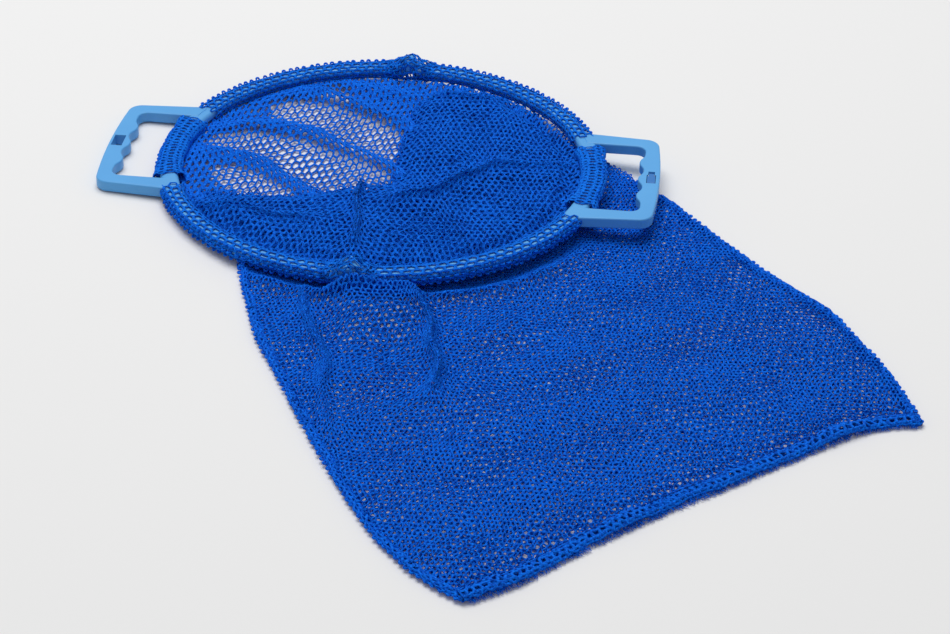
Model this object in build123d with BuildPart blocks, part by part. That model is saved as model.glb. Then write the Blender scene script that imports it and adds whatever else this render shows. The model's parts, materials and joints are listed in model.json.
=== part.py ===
from build123d import *
import math
import os

# Hinged-mouth mesh catch bag. All sizes are in millimetres.
# The two half-frames and everything carried on them are drawn lying level, with the middle of the
# moulding at z = 0 and the centre of the mouth at the origin. save() then lays them at their
# resting tilt. The bag is drawn where it lies, on the ground at z = 0.

# Hoop: two half circles that make a round mouth
MOUTH_RADIUS = 151.0
BAR_WIDTH = 13.0
BAR_HEIGHT = 7.4
BAR_CORNER = 3.2
BAR_END_GAP = 5.8

# D-handles
HANDLE_HEIGHT = 8.0
HANDLE_EDGE = 1.2
ARM_OUTER_Y = 58.0
ARM_ROOT_Y = 62.0
ARM_INNER_Y = 47.0
ARM_ROOT_X = 139.0
GRIP_OUTER_X = 198.0
GRIP_END_X = 194.5
GRIP_INNER_X = 184.2
HANDLE_CORNER = 10.0
OPENING_CORNER = 7.0
ROOT_CORNER = 6.0
FINGER_PITCH = 24.0
FINGER_WAVE = 1.7
FINGER_SPAN = 36.0

# Hinges: the axis lies above the bars, so that the halves fold face to face
HINGE_RISE = 5.6
KNUCKLE_RADIUS = 4.6
KNUCKLE_ROOT = 6.0
EAR_INNER = 2.7
TONGUE_HALF = 2.4
PIN_RADIUS = 2.0
PIN_PLAY = 0.05
PIN_HEAD_RADIUS = 3.4
PIN_HEAD = 1.4
PIN_TAIL = 1.9
CAP_HEIGHT = 1.3
PIN_FACE_GAP = 0.1

# Latch: a T-shaped flap lies in the right grip and swings into a slot through the left grip
LATCH_X = 191.8
LATCH_PIVOT_Y = 7.5
LATCH_PIVOT_Z = 1.8
LATCH_KNUCKLE = 1.9
LATCH_LENGTH = 13.0
LATCH_NECK = 3.0
LATCH_NECK_WIDTH = 4.0
LATCH_WIDTH = 5.8
LATCH_LOW_Z = 0.6
LATCH_TOP_Z = 3.8
LATCH_PIN_RADIUS = 0.9
LATCH_PIN_LENGTH = 9.0
LATCH_EDGE = 1.0
RECESS_WIDTH = 6.6
RECESS_NECK_WIDTH = 4.6
RECESS_SHOULDER_Y = 5.5
RECESS_FAR_Y = 10.3
RECESS_NEAR_Y = -6.3
RECESS_FLOOR_Z = -0.6
SLOT_WIDTH = 8.0
SLOT_FAR_Y = 10.0
SLOT_NEAR_Y = -5.2

# Mesh sleeves sewn round the bars: one each side of a handle and one between its arms
SLEEVE_WIDTH = 16.6
SLEEVE_HEIGHT = 10.6
SLEEVE_CORNER = 4.8
SLEEVE_WALL = 1.2
SLEEVE_HINGE_DEG = 84.0
SLEEVE_ARM_OUTER_DEG = 24.8
SLEEVE_ARM_INNER_DEG = 13.2
STITCH_RADIUS = 0.45
STITCH_GAP = 0.35
STITCH_Z = -1.0
STITCH_INSET_DEG = 1.0

# Resting tilt: the left grip touches the ground and the right half lies on the bag
REST_TILT_DEG = 2.0
REST_LIFT = GRIP_OUTER_X * math.sin(math.radians(REST_TILT_DEG)) + HANDLE_HEIGHT / 2
FRAME_PLACE = Location((0, 0, REST_LIFT), (0, -REST_TILT_DEG, 0))

# Bag: two mesh panels lying flat on each other, the upper one folded back inside the mouth
PANEL = 1.0
LAYER_GAP = 0.3
UPPER_Z = PANEL + LAYER_GAP
FOLD_Z = UPPER_Z + PANEL + LAYER_GAP
LINING_RADIUS = 140.5
FOLD_RADIUS = 138.0
FOLD_X = 12.0
FOLD_EDGE = 1.5
NEAR_CORNER = (110, -466)
FAR_CORNER = (376, -240)
NEAR_SIDE = [(-78, -118), (-66, -176), (-26, -268), (30, -378), (72, -438)]
FAR_SIDE = [(346, -166), (318, -118), (270, -76), (206, 8), (156, 54), (112, 88)]
CORNER_ROUND = 12.0
SIDE_ROUND = 50.0
SEAM_WIDTH = 4.0
SEAM_GAP = 0.3
SEAM_HEIGHT = 2.3
HEM_WIDTH = 7.0
THREAD_HEIGHT = 0.5
THREAD_WIDTH = 0.8

CLOSE = 0.01  # two places nearer than this are the same place
COVER = 6 * MOUTH_RADIUS  # side of a square that covers the whole bag

os.makedirs("parts", exist_ok=True)


def save(part, label, place=Location()):
    """Label a finished piece, put it in place and write its STEP file."""
    placed = place * part
    placed.label = label
    export_step(placed, f"parts/{label}.step")


def radial_plane(degrees):
    """Upright plane through the axis of the mouth, with its own X pointing outwards."""
    return Plane.XZ.rotated((0, 0, degrees))


def handle_outline():
    """Outer outline of the right D-handle, closed across the hoop."""
    with BuildSketch() as outline:
        with BuildLine():
            grip = ThreePointArc(
                (GRIP_END_X, -ARM_OUTER_Y), (GRIP_OUTER_X, 0), (GRIP_END_X, ARM_OUTER_Y)
            )
            Polyline(grip @ 1, (ARM_ROOT_X, ARM_ROOT_Y), (ARM_ROOT_X, -ARM_ROOT_Y), grip @ 0)
        make_face()
        fillet(outline.vertices().group_by(Axis.X)[-1], HANDLE_CORNER)
    return outline.sketch


def grip_edge_x(y):
    """Inner edge of the grip at y: circular arcs, alternately finger bumps and finger hollows."""
    half_chord = FINGER_PITCH / 4
    arc_radius = (half_chord**2 + FINGER_WAVE**2) / (2 * FINGER_WAVE)
    crest = round(y / (2 * half_chord))
    across = y - crest * 2 * half_chord
    rise = math.sqrt(arc_radius**2 - across**2) - (arc_radius - FINGER_WAVE)
    return GRIP_INNER_X + (rise if crest % 2 else -rise)


def hand_opening():
    """Opening between grip and hoop, with four finger hollows along the grip."""
    half_pitch = FINGER_PITCH / 2
    waves = round(2 * FINGER_SPAN / half_pitch)
    crossings = [half_pitch * (i + 0.5) - FINGER_SPAN for i in range(waves)]
    breaks = [-FINGER_SPAN, *crossings, FINGER_SPAN]
    end_x = grip_edge_x(FINGER_SPAN)
    with BuildSketch() as opening:
        with BuildLine():
            for low, high in zip(breaks, breaks[1:]):
                middle = (low + high) / 2
                ThreePointArc(*((grip_edge_x(y), y) for y in (low, middle, high)))
            Polyline(
                (end_x, FINGER_SPAN),
                (end_x, ARM_INNER_Y),
                (ARM_ROOT_X, ARM_INNER_Y),
                (ARM_ROOT_X, -ARM_INNER_Y),
                (end_x, -ARM_INNER_Y),
                (end_x, -FINGER_SPAN),
            )
        make_face()
        corners = opening.vertices().filter_by(lambda v: abs(abs(v.Y) - ARM_INNER_Y) < CLOSE)
        fillet(corners.filter_by(lambda v: v.X > ARM_ROOT_X + CLOSE), OPENING_CORNER)
    return opening.sketch


def handle_rims(builder):
    """Top and bottom edges all round the handle plate, except where it runs into the hoop."""
    faces_z = HANDLE_HEIGHT / 2
    level = builder.edges().filter_by(lambda e: abs(abs(e.center().Z) - faces_z) < CLOSE)
    return level.filter_by(lambda e: abs(e.center().X) > ARM_ROOT_X + CLOSE)


def knuckle_profile(side):
    """Lug from the end of a bar up to the hinge axis; side is -1 on the left half, 1 on the right."""
    with BuildSketch() as profile:
        with Locations((0, HINGE_RISE)):
            Circle(KNUCKLE_RADIUS)
        with Locations((side * (BAR_END_GAP + KNUCKLE_ROOT / 2), 0)):
            Rectangle(KNUCKLE_ROOT, BAR_HEIGHT)
        make_hull()
    return profile.sketch


outline = handle_outline()
opening = hand_opening()
bar_half_angle = 90 - math.degrees(math.asin(BAR_END_GAP / MOUTH_RADIUS))
hinge_ys = (MOUTH_RADIUS, -MOUTH_RADIUS)

# Right half-frame: handle plate, half hoop, one tongue at each hinge, and the latch recess
with BuildPart() as right_half_frame:
    with BuildSketch(Plane.XY.offset(-HANDLE_HEIGHT / 2)):
        add(outline)
        add(opening, mode=Mode.SUBTRACT)
    extrude(amount=HANDLE_HEIGHT)
    fillet(handle_rims(right_half_frame), HANDLE_EDGE)
    Cylinder(MOUTH_RADIUS, 2 * HANDLE_HEIGHT, mode=Mode.SUBTRACT)
    with BuildSketch(radial_plane(-bar_half_angle)):
        with Locations((MOUTH_RADIUS, 0)):
            RectangleRounded(BAR_WIDTH, BAR_HEIGHT, BAR_CORNER)
    revolve(axis=Axis.Z, revolution_arc=2 * bar_half_angle)
    for y in hinge_ys:
        with BuildSketch(Plane.XZ.offset(-(y + TONGUE_HALF))):
            add(knuckle_profile(1))
        extrude(amount=2 * TONGUE_HALF)
        with Locations(Location((0, y, HINGE_RISE), (90, 0, 0))):
            Cylinder(PIN_RADIUS + PIN_PLAY, 2 * BAR_WIDTH, mode=Mode.SUBTRACT)
    with BuildSketch(Plane.XY.offset(HANDLE_HEIGHT / 2)):
        with Locations((LATCH_X, (RECESS_NEAR_Y + RECESS_SHOULDER_Y) / 2)):
            Rectangle(RECESS_WIDTH, RECESS_SHOULDER_Y - RECESS_NEAR_Y)
        with Locations((LATCH_X, (RECESS_SHOULDER_Y + RECESS_FAR_Y) / 2)):
            Rectangle(RECESS_NECK_WIDTH, RECESS_FAR_Y - RECESS_SHOULDER_Y)
    extrude(amount=RECESS_FLOOR_Z - HANDLE_HEIGHT / 2, mode=Mode.SUBTRACT)
    with Locations(Location((LATCH_X, LATCH_PIVOT_Y, LATCH_PIVOT_Z), (0, 90, 0))):
        Cylinder(LATCH_PIN_RADIUS + PIN_PLAY, LATCH_PIN_LENGTH, mode=Mode.SUBTRACT)

# Left half-frame: the mirrored handle and half hoop, two ears at each hinge, and the latch slot
with BuildPart() as left_half_frame:
    with BuildSketch(Plane.XY.offset(-HANDLE_HEIGHT / 2)):
        add(mirror(outline, about=Plane.YZ))
        add(mirror(opening, about=Plane.YZ), mode=Mode.SUBTRACT)
    extrude(amount=HANDLE_HEIGHT)
    fillet(handle_rims(left_half_frame), HANDLE_EDGE)
    Cylinder(MOUTH_RADIUS, 2 * HANDLE_HEIGHT, mode=Mode.SUBTRACT)
    with BuildSketch(radial_plane(180 - bar_half_angle)):
        with Locations((MOUTH_RADIUS, 0)):
            RectangleRounded(BAR_WIDTH, BAR_HEIGHT, BAR_CORNER)
    revolve(axis=Axis.Z, revolution_arc=2 * bar_half_angle)
    ear = BAR_WIDTH / 2 - EAR_INNER
    for y in hinge_ys:
        for outer_y in (y + BAR_WIDTH / 2, y - EAR_INNER):
            with BuildSketch(Plane.XZ.offset(-outer_y)):
                add(knuckle_profile(-1))
            extrude(amount=ear)
        with Locations(Location((0, y, HINGE_RISE), (90, 0, 0))):
            Cylinder(PIN_RADIUS + PIN_PLAY, 2 * BAR_WIDTH, mode=Mode.SUBTRACT)
    with Locations((-LATCH_X, (SLOT_NEAR_Y + SLOT_FAR_Y) / 2, 0)):
        Box(SLOT_WIDTH, SLOT_FAR_Y - SLOT_NEAR_Y, 2 * HANDLE_HEIGHT, mode=Mode.SUBTRACT)

save(left_half_frame.part, "left_half_frame", FRAME_PLACE)
save(right_half_frame.part, "right_half_frame", FRAME_PLACE)

# Hinge pins, headed on the outside of the hoop and capped on the inside
for name, side in (("far", 1), ("near", -1)):
    outer = side * (MOUTH_RADIUS + BAR_WIDTH / 2 + PIN_FACE_GAP)
    inner = side * (MOUTH_RADIUS - BAR_WIDTH / 2 - PIN_FACE_GAP)
    outward = Vector(0, side, 0)
    with BuildPart() as hinge_pin:
        with BuildSketch(Plane((0, outer, HINGE_RISE), (1, 0, 0), outward)):
            Circle(PIN_HEAD_RADIUS)
        extrude(amount=PIN_HEAD)
        fillet(hinge_pin.faces().sort_by(Axis.Y)[-1 if side > 0 else 0].edges(), PIN_HEAD / 2)
        with BuildSketch(Plane((0, inner - side * PIN_TAIL, HINGE_RISE), (1, 0, 0), outward)):
            Circle(PIN_RADIUS)
        extrude(amount=BAR_WIDTH + 2 * PIN_FACE_GAP + PIN_TAIL)
    with BuildPart() as hinge_pin_cap:
        with BuildSketch(Plane((0, inner - side * CAP_HEIGHT, HINGE_RISE), (1, 0, 0), outward)):
            Circle(PIN_HEAD_RADIUS)
            Circle(PIN_RADIUS + PIN_PLAY, mode=Mode.SUBTRACT)
        extrude(amount=CAP_HEIGHT)
    save(hinge_pin.part, f"{name}_hinge_pin", FRAME_PLACE)
    save(hinge_pin_cap.part, f"{name}_hinge_pin_cap", FRAME_PLACE)

# Latch flap, lying in its recess and pointing towards the near side, and the pin it swings on
with BuildPart() as latch_flap:
    with BuildSketch(Plane.XY.offset(LATCH_LOW_Z)):
        with Locations((LATCH_X, LATCH_PIVOT_Y - LATCH_NECK / 2)):
            Rectangle(LATCH_NECK_WIDTH, LATCH_NECK)
        with Locations((LATCH_X, LATCH_PIVOT_Y - (LATCH_NECK + LATCH_LENGTH) / 2)):
            Rectangle(LATCH_WIDTH, LATCH_LENGTH - LATCH_NECK)
    extrude(amount=LATCH_TOP_Z - LATCH_LOW_Z)
    fillet(latch_flap.faces().sort_by(Axis.Y)[0].edges(), LATCH_EDGE)
    with Locations(Location((LATCH_X, LATCH_PIVOT_Y, LATCH_PIVOT_Z), (0, 90, 0))):
        Cylinder(LATCH_KNUCKLE, LATCH_NECK_WIDTH)
        Cylinder(LATCH_PIN_RADIUS + PIN_PLAY, 2 * LATCH_NECK_WIDTH, mode=Mode.SUBTRACT)
with BuildPart() as latch_pin:
    with Locations(Location((LATCH_X, LATCH_PIVOT_Y, LATCH_PIVOT_Z), (0, 90, 0))):
        Cylinder(LATCH_PIN_RADIUS, LATCH_PIN_LENGTH - 2 * PIN_PLAY)
save(latch_flap.part, "latch_flap", FRAME_PLACE)
save(latch_pin.part, "latch_pin", FRAME_PLACE)

# Sleeves and the thread that closes each one along the inside of the hoop
sleeve_spans = {
    "far": (SLEEVE_ARM_OUTER_DEG, SLEEVE_HINGE_DEG),
    "middle": (-SLEEVE_ARM_INNER_DEG, SLEEVE_ARM_INNER_DEG),
    "near": (-SLEEVE_HINGE_DEG, -SLEEVE_ARM_OUTER_DEG),
}
stitch_radius_at = MOUTH_RADIUS - SLEEVE_WIDTH / 2 - STITCH_GAP - STITCH_RADIUS
for half in ("left", "right"):
    for place_name, (low, high) in sleeve_spans.items():
        start = low if half == "right" else 180 - high
        with BuildPart() as sleeve:
            with BuildSketch(radial_plane(start)):
                with Locations((MOUTH_RADIUS, 0)):
                    RectangleRounded(SLEEVE_WIDTH, SLEEVE_HEIGHT, SLEEVE_CORNER)
                    RectangleRounded(
                        SLEEVE_WIDTH - 2 * SLEEVE_WALL,
                        SLEEVE_HEIGHT - 2 * SLEEVE_WALL,
                        SLEEVE_CORNER - SLEEVE_WALL,
                        mode=Mode.SUBTRACT,
                    )
            revolve(axis=Axis.Z, revolution_arc=high - low)
        save(sleeve.part, f"{half}_sleeve_{place_name}", FRAME_PLACE)
    with BuildPart() as stitching:
        for low, high in sleeve_spans.values():
            start = low if half == "right" else 180 - high
            with BuildSketch(radial_plane(start + STITCH_INSET_DEG)):
                with Locations((stitch_radius_at, STITCH_Z)):
                    Circle(STITCH_RADIUS)
            revolve(axis=Axis.Z, revolution_arc=high - low - 2 * STITCH_INSET_DEG)
    save(stitching.part, f"{half}_sleeve_stitching", FRAME_PLACE)


def bag_outline(inset=0):
    """Outline of the flattened bag, from under the mouth to its bottom corners, less inset."""
    with BuildSketch() as body:
        with BuildLine():
            Polyline(*NEAR_SIDE, NEAR_CORNER, FAR_CORNER, *FAR_SIDE, close=True)
        make_face()
        bend_points = NEAR_SIDE[1:] + FAR_SIDE[:-1]
        fillet(
            body.vertices().filter_by(lambda v: (round(v.X), round(v.Y)) in bend_points),
            SIDE_ROUND,
        )
        for corner in (NEAR_CORNER, FAR_CORNER):
            fillet(body.vertices().sort_by_distance(Vector(*corner))[0], CORNER_ROUND)
        if inset:
            offset(amount=-inset)
    return body.sketch


# Seam lines: everything within SEAM_WIDTH of the outline outside the mouth belongs to the seams
whole_bag = bag_outline()
panel_shape = bag_outline(SEAM_WIDTH + SEAM_GAP)
corner_line = Vector(*FAR_CORNER) - Vector(*NEAR_CORNER)
hem_angle = math.degrees(math.atan2(corner_line.Y, corner_line.X))
hem_middle = (Vector(*FAR_CORNER) + Vector(*NEAR_CORNER)) / 2
hem_inward = Vector(-corner_line.Y, corner_line.X).normalized()
hem_length = corner_line.length + 2 * CORNER_ROUND


def hem_strip(width, inset, length=hem_length):
    """Straight strip along the bottom of the bag, its outer edge inset from the corner line."""
    centre = hem_middle + hem_inward * (inset + width / 2)
    with BuildSketch() as strip:
        with Locations(Location((centre.X, centre.Y, 0), (0, 0, hem_angle))):
            Rectangle(length, width)
    return strip.sketch


hem_zone = hem_strip(HEM_WIDTH + 2 * CORNER_ROUND, -2 * CORNER_ROUND)
hem_cut = hem_strip(HEM_WIDTH + SEAM_GAP + 2 * CORNER_ROUND, -2 * CORNER_ROUND)

def mouth_pocket():
    """The part of the mouth where the slack of the upper panel lies folded back."""
    with BuildSketch() as pocket:
        Circle(FOLD_RADIUS)
        with Locations((FOLD_X - COVER / 2, 0)):
            Rectangle(COVER, COVER, mode=Mode.SUBTRACT)
    return pocket.sketch


# Lower panel: under the mouth and out to the bottom of the bag
with BuildPart() as bag_lower_panel:
    with BuildSketch():
        add(panel_shape)
        add(hem_cut, mode=Mode.SUBTRACT)
        Circle(LINING_RADIUS)
    extrude(amount=PANEL)
save(bag_lower_panel.part, "bag_lower_panel")

# Upper panel: over the lower one, under the hoop, and folded back towards it inside the mouth
pocket_area = mouth_pocket()
with BuildPart() as bag_upper_panel:
    with BuildSketch(Plane.XY.offset(UPPER_Z)):
        add(panel_shape)
        with Locations((FOLD_X - COVER / 2, COVER / 2 - ARM_ROOT_Y)):
            Rectangle(COVER, COVER, mode=Mode.SUBTRACT)
        add(hem_cut, mode=Mode.SUBTRACT)
        add(pocket_area)
    extrude(amount=PANEL)
    with BuildSketch(Plane.XY.offset(FOLD_Z)):
        add(pocket_area)
    extrude(amount=PANEL)
    with BuildSketch(Plane.XY.offset(UPPER_Z)):
        add(pocket_area)
        with Locations((FOLD_X + FOLD_EDGE + COVER / 2, 0)):
            Rectangle(COVER, COVER, mode=Mode.SUBTRACT)
    extrude(amount=FOLD_Z - UPPER_Z)
save(bag_upper_panel.part, "bag_upper_panel")

# Side seams: narrow bands along both edges, from the hoop to the bottom hem
band_inner = bag_outline(SEAM_WIDTH)
for name, side in (("near_side_seam", 1), ("far_side_seam", -1)):
    with BuildPart() as seam:
        with BuildSketch():
            add(whole_bag)
            add(band_inner, mode=Mode.SUBTRACT)
            add(hem_cut, mode=Mode.SUBTRACT)
            Circle(MOUTH_RADIUS + SLEEVE_WIDTH, mode=Mode.SUBTRACT)
            with Locations(Location((hem_middle.X / 2, hem_middle.Y / 2, 0), (0, 0, hem_angle))):
                with Locations((side * COVER / 2, 0)):
                    Rectangle(COVER, COVER, mode=Mode.SUBTRACT)
        extrude(amount=SEAM_HEIGHT)
    save(seam.part, name)

# Bottom hem with its line of stitching
with BuildPart() as bottom_hem:
    with BuildSketch():
        add(whole_bag)
        add(hem_zone, mode=Mode.INTERSECT)
    extrude(amount=SEAM_HEIGHT)
save(bottom_hem.part, "bottom_hem")
with BuildPart() as hem_stitching:
    with BuildSketch(Plane.XY.offset(SEAM_HEIGHT + STITCH_GAP / 2)):
        add(hem_strip(THREAD_WIDTH, HEM_WIDTH / 2, corner_line.length - 2 * CORNER_ROUND))
    extrude(amount=THREAD_HEIGHT)
save(hem_stitching.part, "hem_stitching")
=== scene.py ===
import json
import math

import bpy
import numpy as np
from mathutils import Matrix, Vector


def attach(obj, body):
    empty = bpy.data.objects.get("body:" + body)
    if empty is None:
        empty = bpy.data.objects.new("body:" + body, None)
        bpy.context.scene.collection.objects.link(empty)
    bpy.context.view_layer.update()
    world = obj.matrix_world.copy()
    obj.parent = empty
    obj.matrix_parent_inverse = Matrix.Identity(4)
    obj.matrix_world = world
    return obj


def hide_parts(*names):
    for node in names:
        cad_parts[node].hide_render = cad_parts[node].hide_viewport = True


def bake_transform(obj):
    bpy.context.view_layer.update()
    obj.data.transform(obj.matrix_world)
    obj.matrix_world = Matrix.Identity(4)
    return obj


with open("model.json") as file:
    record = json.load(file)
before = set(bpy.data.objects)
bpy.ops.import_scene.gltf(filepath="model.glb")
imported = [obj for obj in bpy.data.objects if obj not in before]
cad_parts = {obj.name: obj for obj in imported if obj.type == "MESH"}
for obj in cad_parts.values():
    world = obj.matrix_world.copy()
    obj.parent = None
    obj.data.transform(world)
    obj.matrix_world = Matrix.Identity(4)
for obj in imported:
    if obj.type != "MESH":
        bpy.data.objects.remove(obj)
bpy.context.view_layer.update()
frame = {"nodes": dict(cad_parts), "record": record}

# Lengths are in millimetres until a mesh is made, which is in metres.
MM = 0.001
# The lowest that the middle of the bag's lower net comes, and the foot of its seams
GROUND_REST = 0.7
RING_RADIUS = 151.0
# The nets in the mouth end here, where the sleeves begin
MOUTH_NET_RADIUS = 143.5
# The nets of the bag stop this far from its outline, under the seams and the hem
SEAM_INSET = 3.2
# Under 1, so that yarn round a bar or an edge is fuller than an ellipse
FULLNESS = 0.8
# A tube of net stops this far short of a full turn, so that no hole is made twice
TUBE_CLOSE = 0.01
SLEEVE_HALF_WIDTH = 7.7
SLEEVE_HALF_HEIGHT = 4.8
# The two halves meet at the hinge rise when the mouth is closed, so what is round the bars stays lower
SLEEVE_TOP = 4.8
PICOT_TOP = 4.4
HINGE_RISE = 5.6
LEFT = "left_half_and_bag"
RIGHT = "right_half"
HALVES = (("left", LEFT), ("right", RIGHT))


# ---------------------------------------------------------------- the hoop's own level plane
def joint(name):
    return next(j for j in frame["record"]["behaviour"]["joints"] if j["name"] == name)


latch_axis = joint("latch_swing")["axis"]
TILT = math.atan2(-latch_axis[2], -latch_axis[0])
LIFT = joint("mouth_hinge")["pos_m"][2] / MM - HINGE_RISE * math.cos(TILT)


def from_level(x, y, z):
    """Points given in the hoop's own level plane, put at its resting tilt."""
    c, s = math.cos(TILT), math.sin(TILT)
    return np.stack([x * c - z * s, y + 0 * x, LIFT + x * s + z * c], -1)


def ring_height(x):
    """Height above the ground of the middle of the bars at x."""
    return LIFT + x * math.tan(TILT)


# ---------------------------------------------------------------- smooth fields
def smooth(x, low, high):
    t = np.clip((x - low) / (high - low), 0, 1)
    return t * t * (3 - 2 * t)


def wobble(x, y, size, seed):
    """Smooth seeded unevenness, mostly from -1 to 1, with features about size across."""
    rng = np.random.default_rng(seed)
    total = 0 * x
    for _ in range(6):
        turn, phase = rng.uniform(0, 2 * math.pi, 2)
        k = 2 * math.pi / (size * rng.uniform(0.7, 1.6))
        total = total + np.sin(k * (x * math.cos(turn) + y * math.sin(turn)) + phase)
    return total / 3.2


def gather(points, line, width, slack, height, seed):
    """Draws the cloth together across a line of two ends, and lifts it into a soft ridge."""
    x, y, z = points
    (ax, ay), (bx, by) = line
    length = math.hypot(bx - ax, by - ay)
    ux, uy = (bx - ax) / length, (by - ay) / length
    along = (x - ax) * ux + (y - ay) * uy
    across = -(x - ax) * uy + (y - ay) * ux + 4 * wobble(along, 0 * along, 60, seed)
    window = smooth(along, -25, 15) * (1 - smooth(along, length - 15, length + 25))
    pull = -slack * np.tanh(across / width) * np.exp(-((across / (4 * width)) ** 2)) * window
    crest = np.exp(-((across / (0.8 * width)) ** 2)) * window
    return x - uy * pull, y + ux * pull, z + height * crest


def inside(points, x, y):
    """True where (x, y) is inside the polygon."""
    hit = np.zeros(np.shape(x), bool)
    for (ax, ay), (bx, by) in zip(points, points[1:] + points[:1]):
        crosses = (ay > y) != (by > y)
        with np.errstate(divide="ignore", invalid="ignore"):
            hit ^= crosses & (x < (bx - ax) * (y - ay) / (by - ay) + ax)
    return hit


def distance_to(line, x, y):
    """Distance to the nearest run of the line."""
    best = np.full(np.shape(x), 1e9)
    for (ax, ay), (bx, by) in zip(line, line[1:]):
        px, py, qx, qy = x - ax, y - ay, bx - ax, by - ay
        t = np.clip((px * qx + py * qy) / (qx * qx + qy * qy), 0, 1)
        best = np.minimum(best, np.hypot(px - t * qx, py - t * qy))
    return best


class Path:
    """A smoothed line on the ground, measured along its length."""

    def __init__(self, points, rounds=3):
        line = np.array(points, float)
        for _ in range(rounds):
            cut = np.stack([0.75 * line[:-1] + 0.25 * line[1:], 0.25 * line[:-1] + 0.75 * line[1:]], 1)
            line = np.concatenate([line[:1], cut.reshape(-1, 2), line[-1:]])
        self.line = line
        self.at = np.concatenate([[0], np.cumsum(np.hypot(*np.diff(line, axis=0).T))])
        self.length = self.at[-1]

    def __call__(self, u):
        """Place and unit vector to the left of the line at u."""
        def spot(w):
            return np.stack([np.interp(w, self.at, self.line[:, axis]) for axis in (0, 1)], -1)

        ahead = spot(np.minimum(u + 2, self.length)) - spot(np.maximum(u - 2, 0))
        ahead /= np.maximum(np.linalg.norm(ahead, axis=-1, keepdims=True), 1e-9)
        return spot(u), np.stack([-ahead[..., 1], ahead[..., 0]], -1)


# ---------------------------------------------------------------- meshes
def mesh_object(name, points, faces, material):
    """Smooth-shaded object from points in millimetres and arrays of faces, each of one corner count."""
    if not isinstance(faces, list):
        faces = [faces]
    mesh = bpy.data.meshes.new(name)
    mesh.vertices.add(len(points))
    mesh.vertices.foreach_set("co", (np.asarray(points, float) * MM).ravel())
    corners = np.concatenate([f.ravel() for f in faces]).astype(np.int32)
    sizes = np.concatenate([np.full(len(f), f.shape[1]) for f in faces])
    mesh.loops.add(len(corners))
    mesh.loops.foreach_set("vertex_index", corners)
    mesh.polygons.add(len(sizes))
    mesh.polygons.foreach_set("loop_start", (np.cumsum(sizes) - sizes).astype(np.int32))
    mesh.polygons.foreach_set("use_smooth", np.ones(len(sizes), bool))
    mesh.update(calc_edges=True)
    mesh.validate()
    made = bpy.data.objects.new(name, mesh)
    bpy.context.scene.collection.objects.link(made)
    mesh.materials.append(material)
    return made


# From the line between two holes to the rim of a hole: share of the way, height as a share of the yarn
TWO_LOOPS = [(0.0, 0.05), (0.27, 0.55), (0.52, 0.12), (0.78, 0.48), (1.0, -0.05)]
ONE_LOOP = [(0.0, 0.1), (0.45, 0.55), (1.0, -0.05)]


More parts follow.
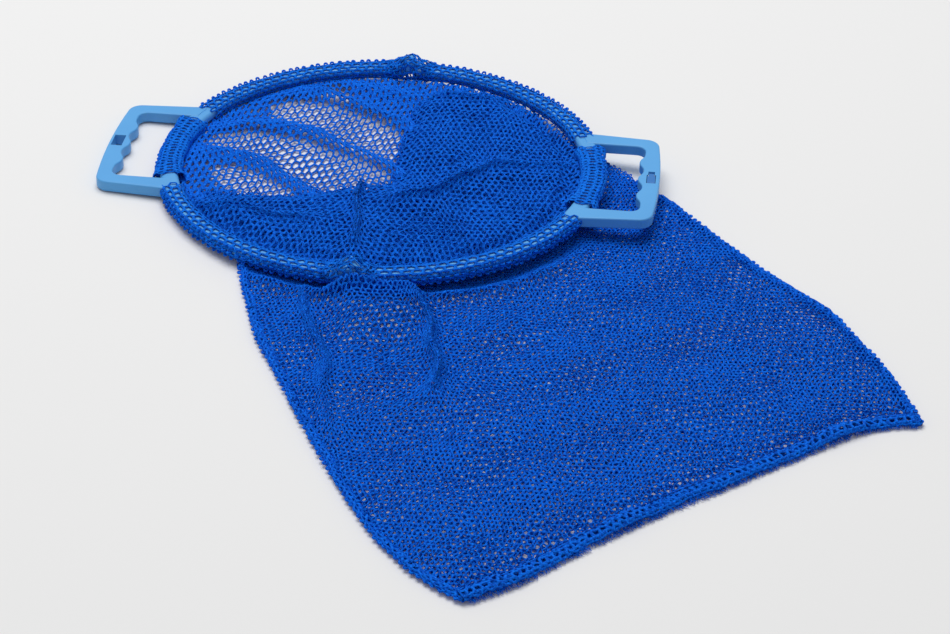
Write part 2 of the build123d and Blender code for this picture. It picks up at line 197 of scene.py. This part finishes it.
def net(
    name, material, keep, place, low, high, step, row, yarn,
    thick=1.2, jitter=0.35, fuzz=0.1, seed=1, profile=ONE_LOOP,
):
    """A knitted net. step and row are the two lattice vectors of its six-sided holes in the flat cloth.

    place takes flat points (x, y) to points in the row frame, keep says which of those places are
    part of the piece, and yarn is the width left between two holes, or a function of the place.
    Each hole has its own raised loops, so the net is closed and round wherever it is seen.
    """
    step, row, low, high = (np.array(v, float) for v in (step, row, low, high))
    box = np.array([(low[0], low[1]), (low[0], high[1]), (high[0], low[1]), (high[0], high[1])])
    reach = box @ np.linalg.inv(np.stack([step, row]))
    i_low, j_low = np.floor(reach.min(0)).astype(int) - 2
    i_high, j_high = np.ceil(reach.max(0)).astype(int) + 2
    grid = np.meshgrid(np.arange(i_low, i_high), np.arange(j_low, j_high), indexing="ij")
    i, j = (numbers.ravel() for numbers in grid)
    centre = i[:, None] * step + j[:, None] * row
    used = (centre >= low).all(1) & (centre <= high).all(1)
    if keep:
        spot = place(centre[:, 0], centre[:, 1])
        used &= keep(spot[:, 0], spot[:, 1])
    i, j, centre = i[used], j[used], centre[used]

    up = row - step / 2
    top, side = up * (2 / 3), step / 2 + up / 3
    wide = j_high - j_low + 4

    def key(a, b, kind):
        return 2 * ((a - i_low + 2) * wide + (b - j_low + 2)) + kind

    around = [
        key(i, j + 1, 1), key(i, j, 0), key(i - 1, j + 1, 1),
        key(i, j - 1, 0), key(i, j, 1), key(i + 1, j - 1, 0),
    ]
    ids = np.stack(around, 1)
    offsets = np.stack([side, top, side - step, -side, -top, step - side])
    unique, back = np.unique(ids, return_inverse=True)
    back = back.reshape(ids.shape)
    flat = np.zeros((len(unique), 2))
    flat[back.ravel()] = (centre[:, None, :] + offsets[None]).reshape(-1, 2)
    rng = np.random.default_rng(seed)
    flat += rng.normal(0, jitter, flat.shape)

    def placed(p):
        return place(p[:, 0], p[:, 1])

    near = 0.5
    here = placed(flat)
    du = placed(flat + (near, 0)) - placed(flat - (near, 0))
    dv = placed(flat + (0, near)) - placed(flat - (0, near))
    normal = np.cross(du, dv)
    normal /= np.maximum(np.linalg.norm(normal, axis=1, keepdims=True), 1e-9)
    corner = here[back]
    lift = normal[back]
    middle = corner.mean(1, keepdims=True)
    arm = corner - middle
    size = np.maximum(np.linalg.norm(arm, axis=2, keepdims=True), 1e-6)
    width = yarn(middle[:, :, 0], middle[:, :, 1])[:, :, None] if callable(yarn) else yarn
    shut = np.clip(width * 0.58 / size, 0.05, 0.94)

    count, cells = len(unique), len(i)
    points = [here + normal * thick * profile[0][1], here - normal * thick / 2]
    rings = [back]
    for number, (share, height) in enumerate(profile[1:]):
        loose = rng.normal(0, fuzz, corner.shape) * (share < 1)
        points.append((middle + arm * (1 - shut * share) + lift * thick * height + loose).reshape(-1, 3))
        rings.append(2 * count + number * 6 * cells + np.arange(6 * cells).reshape(-1, 6))
    faces = []
    for outer, inner in zip(rings, rings[1:]):
        faces.append(np.stack([outer, np.roll(outer, -1, 1), np.roll(inner, -1, 1), inner], 2).reshape(-1, 4))
    rim, after = rings[-1], np.roll(back, -1, 1)
    faces.append(np.stack([after + count, back + count, rim, np.roll(rim, -1, 1)], 2).reshape(-1, 4))
    pairs = np.stack([back.ravel(), after.ravel()], 1)
    # An edge that only one hole has is on the rim of the net, and gets a wall
    packed = np.sort(pairs, 1) @ np.array([count, 1])
    _, first, times = np.unique(packed, return_index=True, return_counts=True)
    edge = pairs[first[times == 1]]
    faces.append(np.stack([edge[:, 1], edge[:, 0], edge[:, 0] + count, edge[:, 1] + count], 1))
    return mesh_object(name, np.concatenate(points), np.concatenate(faces), material)


def strands(name, material, centres, radius, sides=6):
    """Round strands. centres is (strands, rings, 3) in millimetres; both ends are closed to a point."""
    centres = np.asarray(centres, float)
    many, rings, _ = centres.shape
    ahead = np.gradient(centres, axis=1)
    ahead /= np.maximum(np.linalg.norm(ahead, axis=2, keepdims=True), 1e-9)
    first = np.cross(ahead, (0.13, 0.21, 1.0))
    first /= np.maximum(np.linalg.norm(first, axis=2, keepdims=True), 1e-9)
    second = np.cross(ahead, first)
    around = np.arange(sides) * 2 * math.pi / sides
    taper = np.sin(np.linspace(0.12, math.pi - 0.12, rings))[None, :, None, None] ** 0.4
    spokes = first[:, :, None, :] * np.cos(around)[None, None, :, None]
    spokes = spokes + second[:, :, None, :] * np.sin(around)[None, None, :, None]
    points = (centres[:, :, None, :] + spokes * radius * taper).reshape(-1, 3)
    ids = np.arange(many * rings * sides).reshape(many, rings, sides)
    a, b = ids[:, :-1], ids[:, 1:]
    walls = np.stack([a, np.roll(a, -1, 2), np.roll(b, -1, 2), b], 3).reshape(-1, 4)
    ends = np.concatenate([ids[:, 0, ::-1], ids[:, -1]])
    return mesh_object(name, points, [walls, ends], material)


# ---------------------------------------------------------------- materials
def new_material(name):
    material = bpy.data.materials.new(name)
    material.use_nodes = True
    nodes = material.node_tree.nodes
    return material, nodes, material.node_tree.links, nodes["Principled BSDF"]


def noise(nodes, links, scale, detail=3.0):
    place = nodes.new("ShaderNodeTexCoord")
    texture = nodes.new("ShaderNodeTexNoise")
    texture.inputs["Scale"].default_value = scale
    texture.inputs["Detail"].default_value = detail
    links.new(place.outputs["Object"], texture.inputs["Vector"])
    return texture.outputs["Fac"]


def ramp(nodes, links, source, stops):
    """Colour ramp on source with (position, colour) stops."""
    node = nodes.new("ShaderNodeValToRGB")
    elements = node.color_ramp.elements
    while len(elements) < len(stops):
        elements.new(0.5)
    for element, (position, colour) in zip(elements, stops):
        element.position = position
        element.color = (*colour, 1)
    links.new(source, node.inputs["Fac"])
    return node.outputs["Color"]


def add_bump(nodes, links, shader, source, distance, strength):
    bump = nodes.new("ShaderNodeBump")
    bump.inputs["Distance"].default_value = distance
    bump.inputs["Strength"].default_value = strength
    links.new(source, bump.inputs["Height"])
    links.new(bump.outputs["Normal"], shader.inputs["Normal"])


def mapped(nodes, links, source, low, high):
    node = nodes.new("ShaderNodeMapRange")
    node.inputs["To Min"].default_value = low
    node.inputs["To Max"].default_value = high
    links.new(source, node.inputs["Value"])
    return node.outputs["Result"]


def yarn_material(name, dark, bright):
    """Matt knitted polyester yarn: painted highlights and shade of its loops as blotchy colour, fine fibre
    relief and uneven gloss.
    """
    material, nodes, links, shader = new_material(name)
    # Painted highlights and shade: noise blends the dark and bright colours to stand in for light and shade
    # on the yarn's loops
    colour = ramp(nodes, links, noise(nodes, links, 800, 4.0), [(0.36, dark), (0.64, bright)])
    links.new(colour, shader.inputs["Base Color"])
    add_bump(nodes, links, shader, noise(nodes, links, 1500, 3.0), 0.0006, 0.8)
    links.new(mapped(nodes, links, noise(nodes, links, 300), 0.68, 0.88), shader.inputs["Roughness"])
    shader.inputs["Specular IOR Level"].default_value = 0.1
    return material


def plastic_material(name, dark, bright):
    """Satin moulded plastic: faint flow marks, fine grain and uneven gloss."""
    material, nodes, links, shader = new_material(name)
    colour = ramp(nodes, links, noise(nodes, links, 18), [(0.3, dark), (0.7, bright)])
    links.new(colour, shader.inputs["Base Color"])
    links.new(mapped(nodes, links, noise(nodes, links, 60), 0.36, 0.5), shader.inputs["Roughness"])
    add_bump(nodes, links, shader, noise(nodes, links, 900, 2.0), 0.00008, 0.5)
    shader.inputs["Specular IOR Level"].default_value = 0.4
    return material


net_blue = yarn_material("net_yarn", (0.0, 0.062, 0.50), (0.001, 0.200, 1.0))
sleeve_blue = yarn_material("sleeve_yarn", (0.0, 0.075, 0.50), (0.003, 0.225, 1.0))
thread_blue = yarn_material("sewing_thread", (0.0, 0.030, 0.24), (0.002, 0.060, 0.42))
frame_plastic = plastic_material("frame_plastic", (0.086, 0.355, 0.75), (0.100, 0.395, 0.80))
pin_plastic = plastic_material("pin_plastic", (0.05, 0.28, 0.68), (0.06, 0.31, 0.72))
latch_plastic = plastic_material("latch_plastic", (0.015, 0.15, 0.48), (0.03, 0.19, 0.55))
steel, steel_nodes, steel_links, steel_shader = new_material("latch_pin_steel")
steel_shader.inputs["Metallic"].default_value = 1.0
steel_stops = [(0.3, (0.42, 0.43, 0.45)), (0.7, (0.62, 0.63, 0.65))]
steel_colour = ramp(steel_nodes, steel_links, noise(steel_nodes, steel_links, 400), steel_stops)
steel_links.new(steel_colour, steel_shader.inputs["Base Color"])
steel_gloss = mapped(steel_nodes, steel_links, noise(steel_nodes, steel_links, 900), 0.25, 0.45)
steel_links.new(steel_gloss, steel_shader.inputs["Roughness"])

for node_name, material in {
    "left_half_frame": frame_plastic,
    "right_half_frame": frame_plastic,
    "far_hinge_pin": pin_plastic,
    "near_hinge_pin": pin_plastic,
    "far_hinge_pin_cap": pin_plastic,
    "near_hinge_pin_cap": pin_plastic,
    "latch_flap": latch_plastic,
    "latch_pin": steel,
}.items():
    for slot in frame["nodes"][node_name].material_slots:
        slot.material = material

# ---------------------------------------------------------------- outlines of the lying bag
# Most points here come from marks on the photo that a camera fit carried to the ground plane. Some were
# then moved, and the outlines should be made another way.
NEAR_CORNER = (112, -463)
FAR_CORNER = (374, -242)
NEAR_EDGE = [
    (-79, -120), (-76, -141), (-66, -172), (-48, -228), (-30, -258), (-6, -308),
    (22, -360), (52, -411), (78, -441), (98, -456), NEAR_CORNER,
]
BOTTOM_EDGE = [
    NEAR_CORNER, (136, -446), (162, -418), (198, -379), (246, -336), (300, -288),
    (334, -257), (352, -248), FAR_CORNER,
]
FAR_EDGE = [
    FAR_CORNER, (368, -222), (350, -176), (336, -154), (326, -132), (312, -114), (288, -93),
    (252, -53), (226, -20), (204, 7), (182, 29), (154, 56), (112, 88),
]
BODY = NEAR_EDGE + BOTTOM_EDGE[1:] + FAR_EDGE[1:]
BODY_LINE = NEAR_EDGE[1:] + BOTTOM_EDGE[1:] + FAR_EDGE[1:-2]
# The edge of the slack net that is folded back inside the mouth
FOLD = [(-139, -52), (-108, -50), (-54, -44), (-13, -22), (10, -12), (9, 40), (10, 96), (20, 126), (36, 146)]
RING_SIDE = [
    (150 * math.cos(math.radians(a)), 150 * math.sin(math.radians(a))) for a in range(72, -160, -8)
]
POCKET = FOLD + RING_SIDE
# Where one layer of net lies stretched and open inside the mouth, between its folds
OPEN_PATCHES = [
    [(-96, 88), (-85, 100), (-50, 104), (-12, 82), (6, 64), (6, 24), (-31, 42), (-73, 66), (-90, 71)],
    [
        (-134, 21), (-127, 38), (-106, 50), (-59, 42), (-19, 25), (8, 4),
        (8, -16), (-25, -32), (-47, -31), (-70, -10), (-111, 15),
    ],
    [(-121, -11), (-107, -5), (-91, -10), (-57, -35), (-57, -46), (-73, -50), (-90, -48), (-112, -34)],
    [(-79, 120), (-62, 128), (-44, 124), (-40, 114), (-60, 115)],
]


def lower_place(x, y):
    """The lower layer: on the ground, gathered in folds in the mouth, rising to the hoop on the left."""
    z = 0.9 + 0.4 * (1 + wobble(x, y, 90, 3))
    points = (x + 1.2 * wobble(x, y, 70, 4), y + 1.2 * wobble(x, y, 70, 5), z)
    points = gather(points, ((-136, 56), (-50, 44)), 16, 10, 6.0, 11)
    points = gather(points, ((-50, 44), (20, -4)), 14, 8, 5.0, 12)
    points = gather(points, ((-136, 14), (-88, -4)), 16, 10, 6.0, 13)
    points = gather(points, ((-88, -4), (-40, -44)), 15, 9, 5.0, 14)
    points = gather(points, ((-84, 122), (10, 72)), 16, 10, 8.0, 15)
    points = gather(points, ((-128, 92), (-70, 112)), 12, 6, 5.0, 16)
    points = gather(points, ((-60, 136), (10, 118)), 12, 6, 6.0, 17)
    x, y, z = points
    radius, angle = np.hypot(x, y), np.arctan2(y, x)
    left = 1 - smooth(x, 10, 60) * (1 - smooth(y, 60, 110))
    left = left * (1 - smooth(-y, 100, 125) * smooth(x, -110, -80))
    rise = smooth(radius, 114, 143) * left * (radius < 152)
    pleat = 1 + 0.22 * np.sin(46 * angle + 2 * wobble(x, y, 40, 6))
    z = z + rise * (ring_height(x) - 3.0 - z) * np.clip(pleat, 0, 1.05)
    return np.stack([x, y, np.maximum(z, GROUND_REST)], -1)


# Where both layers are drawn open along the far side: x, y, half length along the edge, amount
STRETCHED_SPOTS = ((205, 1, 12, 0.6), (259, -71, 9, 0.7), (317, -139, 26, 1.0), (344, -186, 10, 0.6))


def edge_stretch(x, y):
    """From 0 to 1 where both layers are drawn tight and open along the far side."""
    total = 0 * x
    for spot_x, spot_y, along, amount in STRETCHED_SPOTS:
        run = (x - spot_x) * 0.64 - (y - spot_y) * 0.77
        off = (x - spot_x) * 0.77 + (y - spot_y) * 0.64
        total = total + amount * np.exp(-((run / along) ** 2) - ((off + 2) / 11) ** 2)
    return np.minimum(total, 1)


def in_body(x, y):
    return inside(BODY, x, y) & (distance_to(BODY_LINE, x, y) > SEAM_INSET)


def lower_keep(x, y):
    return (np.hypot(x, y) < MOUTH_NET_RADIUS) | in_body(x, y)


def lower_yarn(x, y):
    """Narrow where the open net is stretched, and wide where it is slack or gathered."""
    radius = np.hypot(x, y)
    depth = np.full(np.shape(x), -1e9)
    for patch in OPEN_PATCHES:
        edge = distance_to(patch + patch[:1], x, y)
        depth = np.maximum(depth, np.where(inside(patch, x, y), edge, -edge))
    stretched = smooth(depth, -6, 3) * (radius < 140)
    gathered = 4.6 - 2.6 * smooth(radius, 140, 150)
    return gathered + (2.0 - gathered) * stretched + 0.2 * wobble(x, y, 50, 7) - 0.9 * edge_stretch(x, y)


def upper_place(x, y):
    """The upper layer, on the lower one: under the hoop and out to the hem, with folds near the hinge."""
    z = 2.7 + 0.9 * (1 + wobble(x, y, 80, 21)) * smooth(np.hypot(x, y), 150, 190)
    points = (x + 1.5 * wobble(x, y, 60, 22), y + 1.5 * wobble(x, y, 60, 23), z)
    points = gather(points, ((-27, -170), (-4, -250)), 9, 7, 5.0, 24)
    points = gather(points, ((-4, -250), (10, -312)), 9, 5, 3.0, 25)
    points = gather(points, ((50, -180), (72, -262)), 12, 10, 9.0, 26)
    x, y, z = points
    hump = np.exp(-(((x - 30 + 0.3 * (y + 200)) / 30) ** 6))
    hump = hump * smooth(-y, 156, 170) * (1 - smooth(-y, 170, 270))
    hollow = np.exp(-(((x - 34) / 20) ** 2) - ((y + 226) / 22) ** 2)
    z = z + 14.0 * hump - 6.0 * hollow
    radius = np.hypot(x, y)
    near = smooth(-y, 60, 110)
    z = z + 4.5 * near * np.exp(-(((radius - 170) / 6) ** 2)) * (1 + 0.4 * wobble(x, y, 30, 28))
    under = smooth(radius, 120, 142) * (1 - smooth(radius, 158, 168))
    z = z * (1 - under) + np.minimum(z, ring_height(x) - 7.5) * under
    return np.stack([x, y, np.maximum(z, 2.2)], -1)


def upper_keep(x, y):
    radius = np.hypot(x, y)
    return (inside(POCKET, x, y) & (radius < 141)) | (in_body(x, y) & (radius > 139))


def upper_yarn(x, y):
    eyelets = 0.8 * np.exp(-(((distance_to(BOTTOM_EDGE, x, y) - 14) / 3) ** 2))
    drawn_right = 0.25 * np.exp(-(((x - 250) / 60) ** 2) - ((y + 130) / 60) ** 2)
    return 1.6 + 0.35 * wobble(x, y, 60, 27) - drawn_right - 0.9 * edge_stretch(x, y) - eyelets


def slack_place(x, y):
    """The slack of the upper layer, folded back over itself inside the mouth and up to the hoop."""
    x, y = x + 1.8 * wobble(x, y, 55, 31), y + 1.8 * wobble(x, y, 55, 32)
    edge = distance_to(FOLD, x, y)
    z = 4.2 + 6.0 * smooth(edge, 0, 14) + 1.6 * (1 + wobble(x, y, 60, 33)) * smooth(edge, 4, 40)
    points = gather((x, y, z), ((24, -44), (80, 14)), 10, 8, 6.0, 34)
    points = gather(points, ((80, 14), (130, 26)), 9, 6, 4.0, 35)
    points = gather(points, ((-12, -22), (-4, -108)), 9, 9, 7.0, 36)
    points = gather(points, ((-122, -72), (-40, -88)), 10, 8, 4.0, 37)
    points = gather(points, ((14, 112), (70, 112)), 9, 6, 4.0, 38)
    x, y, z = points
    radius = np.hypot(x, y)
    z = z - 3.5 * np.exp(-(((radius - 134) / 5) ** 2))
    z = z + smooth(radius, 133, MOUTH_NET_RADIUS) * (ring_height(x) - 3.0 - z)
    return np.stack([x, y, z], -1)


def slack_keep(x, y):
    return inside(POCKET, x, y) & (np.hypot(x, y) < MOUTH_NET_RADIUS)


def slack_yarn(x, y):
    stretch = 0.7 * np.exp(-(((x - 50) / 30) ** 2) - ((y + 84) / 20) ** 2)
    return 2.1 + 0.25 * wobble(x, y, 40, 39) - stretch


# Flat cloth is made over the whole of these spans, and keep leaves the part that is wanted
BAG_LOW, BAG_HIGH = (-170, -480), (400, 170)
MOUTH_LOW, MOUTH_HIGH = (-170, -170), (170, 170)
lower = net(
    "bag_lower_net", net_blue, lower_keep, lower_place, BAG_LOW, BAG_HIGH,
    (4.4, 2.2), (0.75, 8.1), lower_yarn, jitter=0.35, fuzz=0.14, seed=41,
)
upper = net(
    "bag_upper_net", net_blue, upper_keep, upper_place, BAG_LOW, BAG_HIGH,
    (2.9, 0.25), (1.6, 3.9), upper_yarn, thick=1.5, jitter=0.36, fuzz=0.2, seed=42,
)
slack = net(
    "mouth_slack_net", net_blue, slack_keep, slack_place, MOUTH_LOW, MOUTH_HIGH,
    (4.1, 0.45), (1.8, 5.3), slack_yarn, jitter=0.36, fuzz=0.18, seed=43, profile=TWO_LOOPS,
)

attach(lower, LEFT)
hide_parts("bag_lower_panel")
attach(upper, LEFT)
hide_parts("bag_upper_panel")
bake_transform(slack)


# ---------------------------------------------------------------- sleeves round the bars
# The lattice of a sleeve starts and ends here, low on the inner side of the bar
SEAM_TURN = math.radians(215)
ROWS_ROUND_BAR = 12


def sleeve_section(angle, turn, half_width, half_height, bulge=0.0, top=SLEEVE_TOP):
    """Point round the bar, no higher than top. bulge is how far more it stands up, over a hinge knuckle."""
    c, s = np.cos(turn), np.sin(turn)
    out = np.sign(c) * np.abs(c) ** FULLNESS * half_width
    lift = np.minimum(np.sign(s) * np.abs(s) ** FULLNESS * half_height, top) + bulge * smooth(s, -0.2, 0.8)
    radius = RING_RADIUS + out
    points = from_level(radius * np.cos(angle), radius * np.sin(angle), lift)
    points[..., 2] = np.maximum(points[..., 2], 0.9)
    return points


def sleeve(name, body, low, high, seed, step, row, yarn, half_width=SLEEVE_HALF_WIDTH, flare=0.0):
    """A net sleeve round the bar from angle low to high."""
    perimeter = ROWS_ROUND_BAR * row[1]
    length = math.radians(high - low) * RING_RADIUS

    def place(u, v):
        turn = 2 * math.pi * v / perimeter + SEAM_TURN
        swell = 1 + 0.06 * wobble(u, v, 20, seed)
        end = 1 - smooth(np.minimum(u, length - u), 0, 14)
        return sleeve_section(
            math.radians(low) + u / RING_RADIUS, turn,
            half_width * swell + flare * end,
            SLEEVE_HALF_HEIGHT * swell + 0.4 * flare * end,
        )

    made = net(
        name, sleeve_blue, None, place, (0, 0), (length, perimeter - TUBE_CLOSE), step, row, yarn,
        thick=0.9, jitter=0.25, fuzz=0.08, seed=seed,
    )
    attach(made, body)
    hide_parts(name.removesuffix("_net"))
    return made


# From where to where a sleeve goes round the right half of the hoop, in degrees
SPANS = {"far": (22.6, 85.4), "middle": (-15.8, 15.8), "near": (-85.4, -22.6)}


def spans_of(half):
    """The spans of one half of the hoop. The left half mirrors the right one."""
    return {
        spot: (low, high) if half == "right" else (180 - high, 180 - low)
        for spot, (low, high) in SPANS.items()
    }


for half, body in HALVES:
    for number, (spot, span) in enumerate(spans_of(half).items()):
        seed = 60 + number + (10 if half == "left" else 0)
        if spot == "middle":
            sleeve(f"{half}_sleeve_middle_net", body, *span, seed, (4.2, 0), (2.1, 4.0), 3.2, 9.2, 2.4)
        else:
            sleeve(f"{half}_sleeve_{spot}_net", body, *span, seed, (7.2, 0), (3.6, 3.8), 2.35, flare=1.0)


def hinge_ruffle(name, middle_deg, seed):
    """The sleeves' bunched ends over a hinge, from one half to the other."""
    reach = math.radians(6.4) * RING_RADIUS
    perimeter = 66.0

    def place(u, v):
        turn = 2 * math.pi * v / perimeter + SEAM_TURN
        swell = 1 + 0.15 * wobble(u, v, 9, seed)
        over = np.exp(-((u / 9.5) ** 2)) * (1 + 0.2 * np.sin(u * 0.9) * np.sin(2 * turn))
        half_width = (SLEEVE_HALF_WIDTH + 0.7 + 1.2 * over) * swell
        angle = math.radians(middle_deg) + u / RING_RADIUS
        return sleeve_section(angle, turn, half_width, (SLEEVE_HALF_HEIGHT + 0.4) * swell, 6.6 * over * swell)

    made = net(
        name, sleeve_blue, None, place, (-reach, 0), (reach, perimeter - TUBE_CLOSE),
        (4.8, 0.8), (2.4, 4.4), 1.9, thick=1.1, jitter=0.8, fuzz=0.2, seed=seed,
    )
    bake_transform(made)


hinge_ruffle("far_hinge_ruffle_net", 90, 81)
hinge_ruffle("near_hinge_ruffle_net", -90, 82)


# ---------------------------------------------------------------- sewn edges
def sewn_edge(name, node, line, half_width, half_height, inset, raised, seed):
    """Net wrapped over both layers along an edge of the bag."""
    path = Path(line)
    perimeter = 2.6 * (half_width + half_height) * 1.1

    def place(u, v):
        turn = 2 * math.pi * v / perimeter
        spot, leftward = path(np.clip(u, 0, path.length))
        swell = 1 + 0.12 * wobble(u, v, 14, seed)
        c, s = np.cos(turn), np.sin(turn)
        out = inset + np.sign(c) * np.abs(c) ** FULLNESS * half_width * swell
        out = out + 0.8 * wobble(u, 0 * u, 40, seed + 1)
        base = GROUND_REST + raised * np.maximum(0, wobble(u, 0 * u, 90, seed + 2))
        lift = base + half_height * swell * (1 + np.sign(s) * np.abs(s) ** FULLNESS)
        flat = spot + leftward * out[..., None]
        return np.stack([flat[..., 0], flat[..., 1], lift], -1)

    made = net(
        name, net_blue, None, place, (0, 0), (path.length, perimeter - TUBE_CLOSE),
        (5.2, 0), (2.6, perimeter / 7), 2.6, jitter=0.5, fuzz=0.12, seed=seed,
    )
    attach(made, LEFT)
    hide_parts(node)
    return path


near_path = sewn_edge("near_side_seam_net", "near_side_seam", NEAR_EDGE[1:], 2.6, 1.5, 2.2, 0.6, 91)
far_path = sewn_edge("far_side_seam_net", "far_side_seam", FAR_EDGE[:-2], 2.6, 1.5, 2.2, 0.6, 93)
hem_path = sewn_edge("bottom_hem_net", "bottom_hem", BOTTOM_EDGE, 4.6, 2.0, 4.2, 1.8, 95)


def running_stitches(name, node, body, lines, length=3.6, gap=1.8, sag=0.5):
    """Separate stitches along lines, each a function of distance with its length."""
    centres = []
    for spot, total in lines:
        for start in np.arange(gap, total - length, length + gap):
            u = start + np.linspace(0, length, 6)
            arch = np.sin(np.linspace(0, math.pi, 6))
            points = spot(u)
            points[:, 2] += sag * (arch - 0.6)
            centres.append(points)
    made = strands(name, thread_blue, centres, 0.42)
    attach(made, body)
    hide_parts(node)


def seam_arc(low, high):
    """The line along which a sleeve is sewn shut, inside the hoop."""
    radius = RING_RADIUS - SLEEVE_HALF_WIDTH - 0.6

    def spot(u):
        angle = math.radians(low) + u / radius
        return from_level(radius * np.cos(angle), radius * np.sin(angle), -0.6 + 0 * u)

    return spot, math.radians(high - low) * radius


HEM_STITCH_INSET = 7.6
HEM_STITCH_HEIGHT = 5.6


def hem_line(u):
    """The line of the hem's stitches, on top of the hem and inside it."""
    spot, leftward = hem_path(u)
    flat = spot + leftward * HEM_STITCH_INSET
    return np.stack([flat[:, 0], flat[:, 1], HEM_STITCH_HEIGHT + 0 * u], -1)


for half, body in HALVES:
    arcs = [seam_arc(*span) for span in spans_of(half).values()]
    running_stitches(f"{half}_sleeve_stitches", f"{half}_sleeve_stitching", body, arcs)
running_stitches("hem_stitches", "hem_stitching", LEFT, [(hem_line, hem_path.length)])


def picots(name, body, runs, seed, pitch=5.4):
    """Small loops of yarn standing out along an edge.

    runs are pairs of a function of distance and out, and the length of the run.
    """
    rng = np.random.default_rng(seed)
    centres = []
    for spot, total in runs:
        for start in np.arange(pitch / 2, total - pitch / 2, pitch):
            t = np.linspace(0, math.pi, 8)
            u = start + rng.normal(0, 0.4) - 1.4 * np.cos(t)
            centres.append(spot(u, rng.uniform(1.6, 2.6) * np.sin(t) - 0.6))
    made = strands(name, net_blue, centres, 0.8)
    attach(made, body)


def hoop_edge(low, high, turn):
    """A row of the sleeve's knots. turn is 0 on the outer side, 90 on top and negative below."""
    def spot(u, out):
        angle = math.radians(low) + u / RING_RADIUS
        half_width = SLEEVE_HALF_WIDTH + out
        half_height = SLEEVE_HALF_HEIGHT + out
        return sleeve_section(angle, math.radians(turn) + 0 * u, half_width, half_height, top=PICOT_TOP)

    return spot, math.radians(high - low) * RING_RADIUS


def bag_edge(path):
    """A row of knots along a side seam of the bag."""
    def spot(u, out):
        place, leftward = path(u)
        flat = place - leftward * out[:, None]
        return np.stack([flat[:, 0], flat[:, 1], 2.4 + 0 * u], -1)

    return spot, path.length


for half, body in HALVES:
    rows = [hoop_edge(*span, turn) for span in spans_of(half).values() for turn in (-35, 5, 42)]
    picots(f"{half}_sleeve_picots", body, rows, 101)
picots("side_seam_picots", LEFT, [bag_edge(near_path), bag_edge(far_path)], 103)


def hem_fibres(name, count, seed):
    """Short loose fibres of cut yarn standing out of the bottom edge."""
    rng = np.random.default_rng(seed)
    u = rng.uniform(2, hem_path.length - 2, count)
    spot, leftward = hem_path(u)
    forward = np.stack([leftward[:, 1], -leftward[:, 0]], -1)
    length = rng.uniform(2.0, 5.5, count)
    slant = rng.normal(0, 0.45, count)
    steps = np.linspace(0, 1, 4)[None, :, None]
    direction = -leftward + forward * slant[:, None]
    flat = spot[:, None, :] + leftward[:, None, :] * 1.5
    flat = flat + direction[:, None, :] * (length[:, None, None] * steps)
    flat = flat + forward[:, None, :] * steps**2 * rng.normal(0, 1.2, count)[:, None, None]
    height = rng.uniform(0.8, 3.6, count)[:, None] * (1 - 0.5 * steps[0, :, 0][None])
    made = strands(name, net_blue, np.concatenate([flat, height[:, :, None]], 2), 0.2, 4)
    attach(made, LEFT)


hem_fibres("bottom_hem_fibres", 900, 97)

# ---------------------------------------------------------------- floor, light and camera
bpy.ops.mesh.primitive_plane_add(size=8.0, location=(0.1, -0.1, -0.0004))
floor = bpy.context.object
floor.name = "floor"
floor_material, _, _, floor_shader = new_material("floor_paper")
floor_shader.inputs["Base Color"].default_value = (0.84, 0.84, 0.84, 1)
floor_shader.inputs["Roughness"].default_value = 0.8
floor_shader.inputs["Specular IOR Level"].default_value = 0.1
floor.data.materials.append(floor_material)

scene = bpy.context.scene
scene.view_settings.view_transform = "Standard"
world = bpy.data.worlds.new("studio")
world.use_nodes = True
world.node_tree.nodes["Background"].inputs["Color"].default_value = (1.0, 1.0, 1.0, 1)
world.node_tree.nodes["Background"].inputs["Strength"].default_value = 0.42
scene.world = world


def softbox(name, place, target, size, power):
    data = bpy.data.lights.new(name, "AREA")
    data.size = size
    data.energy = power
    made = bpy.data.objects.new(name, data)
    made.location = place
    made.rotation_euler = (Vector(target) - Vector(place)).to_track_quat("-Z", "Y").to_euler()
    scene.collection.objects.link(made)


softbox("key_softbox", (-0.5, 0.9, 3.4), (0.1, -0.1, 0), 2.6, 92)

# The camera's angles, target, distance and lens are a fit's output, rounded
CAMERA_TARGET = Vector((0.0862, -0.1698, 0.0))
CAMERA_DISTANCE = 1.5935
CAMERA_AZIMUTH = math.radians(-4.342)
CAMERA_ELEVATION = math.radians(32.649)
CAMERA_ROLL = math.radians(3.639)

camera_data = bpy.data.cameras.new("camera")
camera_data.lens = 92.2
camera_data.clip_end = 20
camera = bpy.data.objects.new("camera", camera_data)
scene.collection.objects.link(camera)
level_ahead = math.cos(CAMERA_ELEVATION)
forward = Vector((
    math.sin(CAMERA_AZIMUTH) * level_ahead,
    math.cos(CAMERA_AZIMUTH) * level_ahead,
    -math.sin(CAMERA_ELEVATION),
))
level_right = Vector((math.cos(CAMERA_AZIMUTH), -math.sin(CAMERA_AZIMUTH), 0))
level_up = level_right.cross(forward)
right = math.cos(CAMERA_ROLL) * level_right + math.sin(CAMERA_ROLL) * level_up
up = -math.sin(CAMERA_ROLL) * level_right + math.cos(CAMERA_ROLL) * level_up
turn = Matrix((right, up, -forward)).transposed()
camera.matrix_world = Matrix.Translation(CAMERA_TARGET - CAMERA_DISTANCE * forward) @ turn.to_4x4()
scene.camera = camera
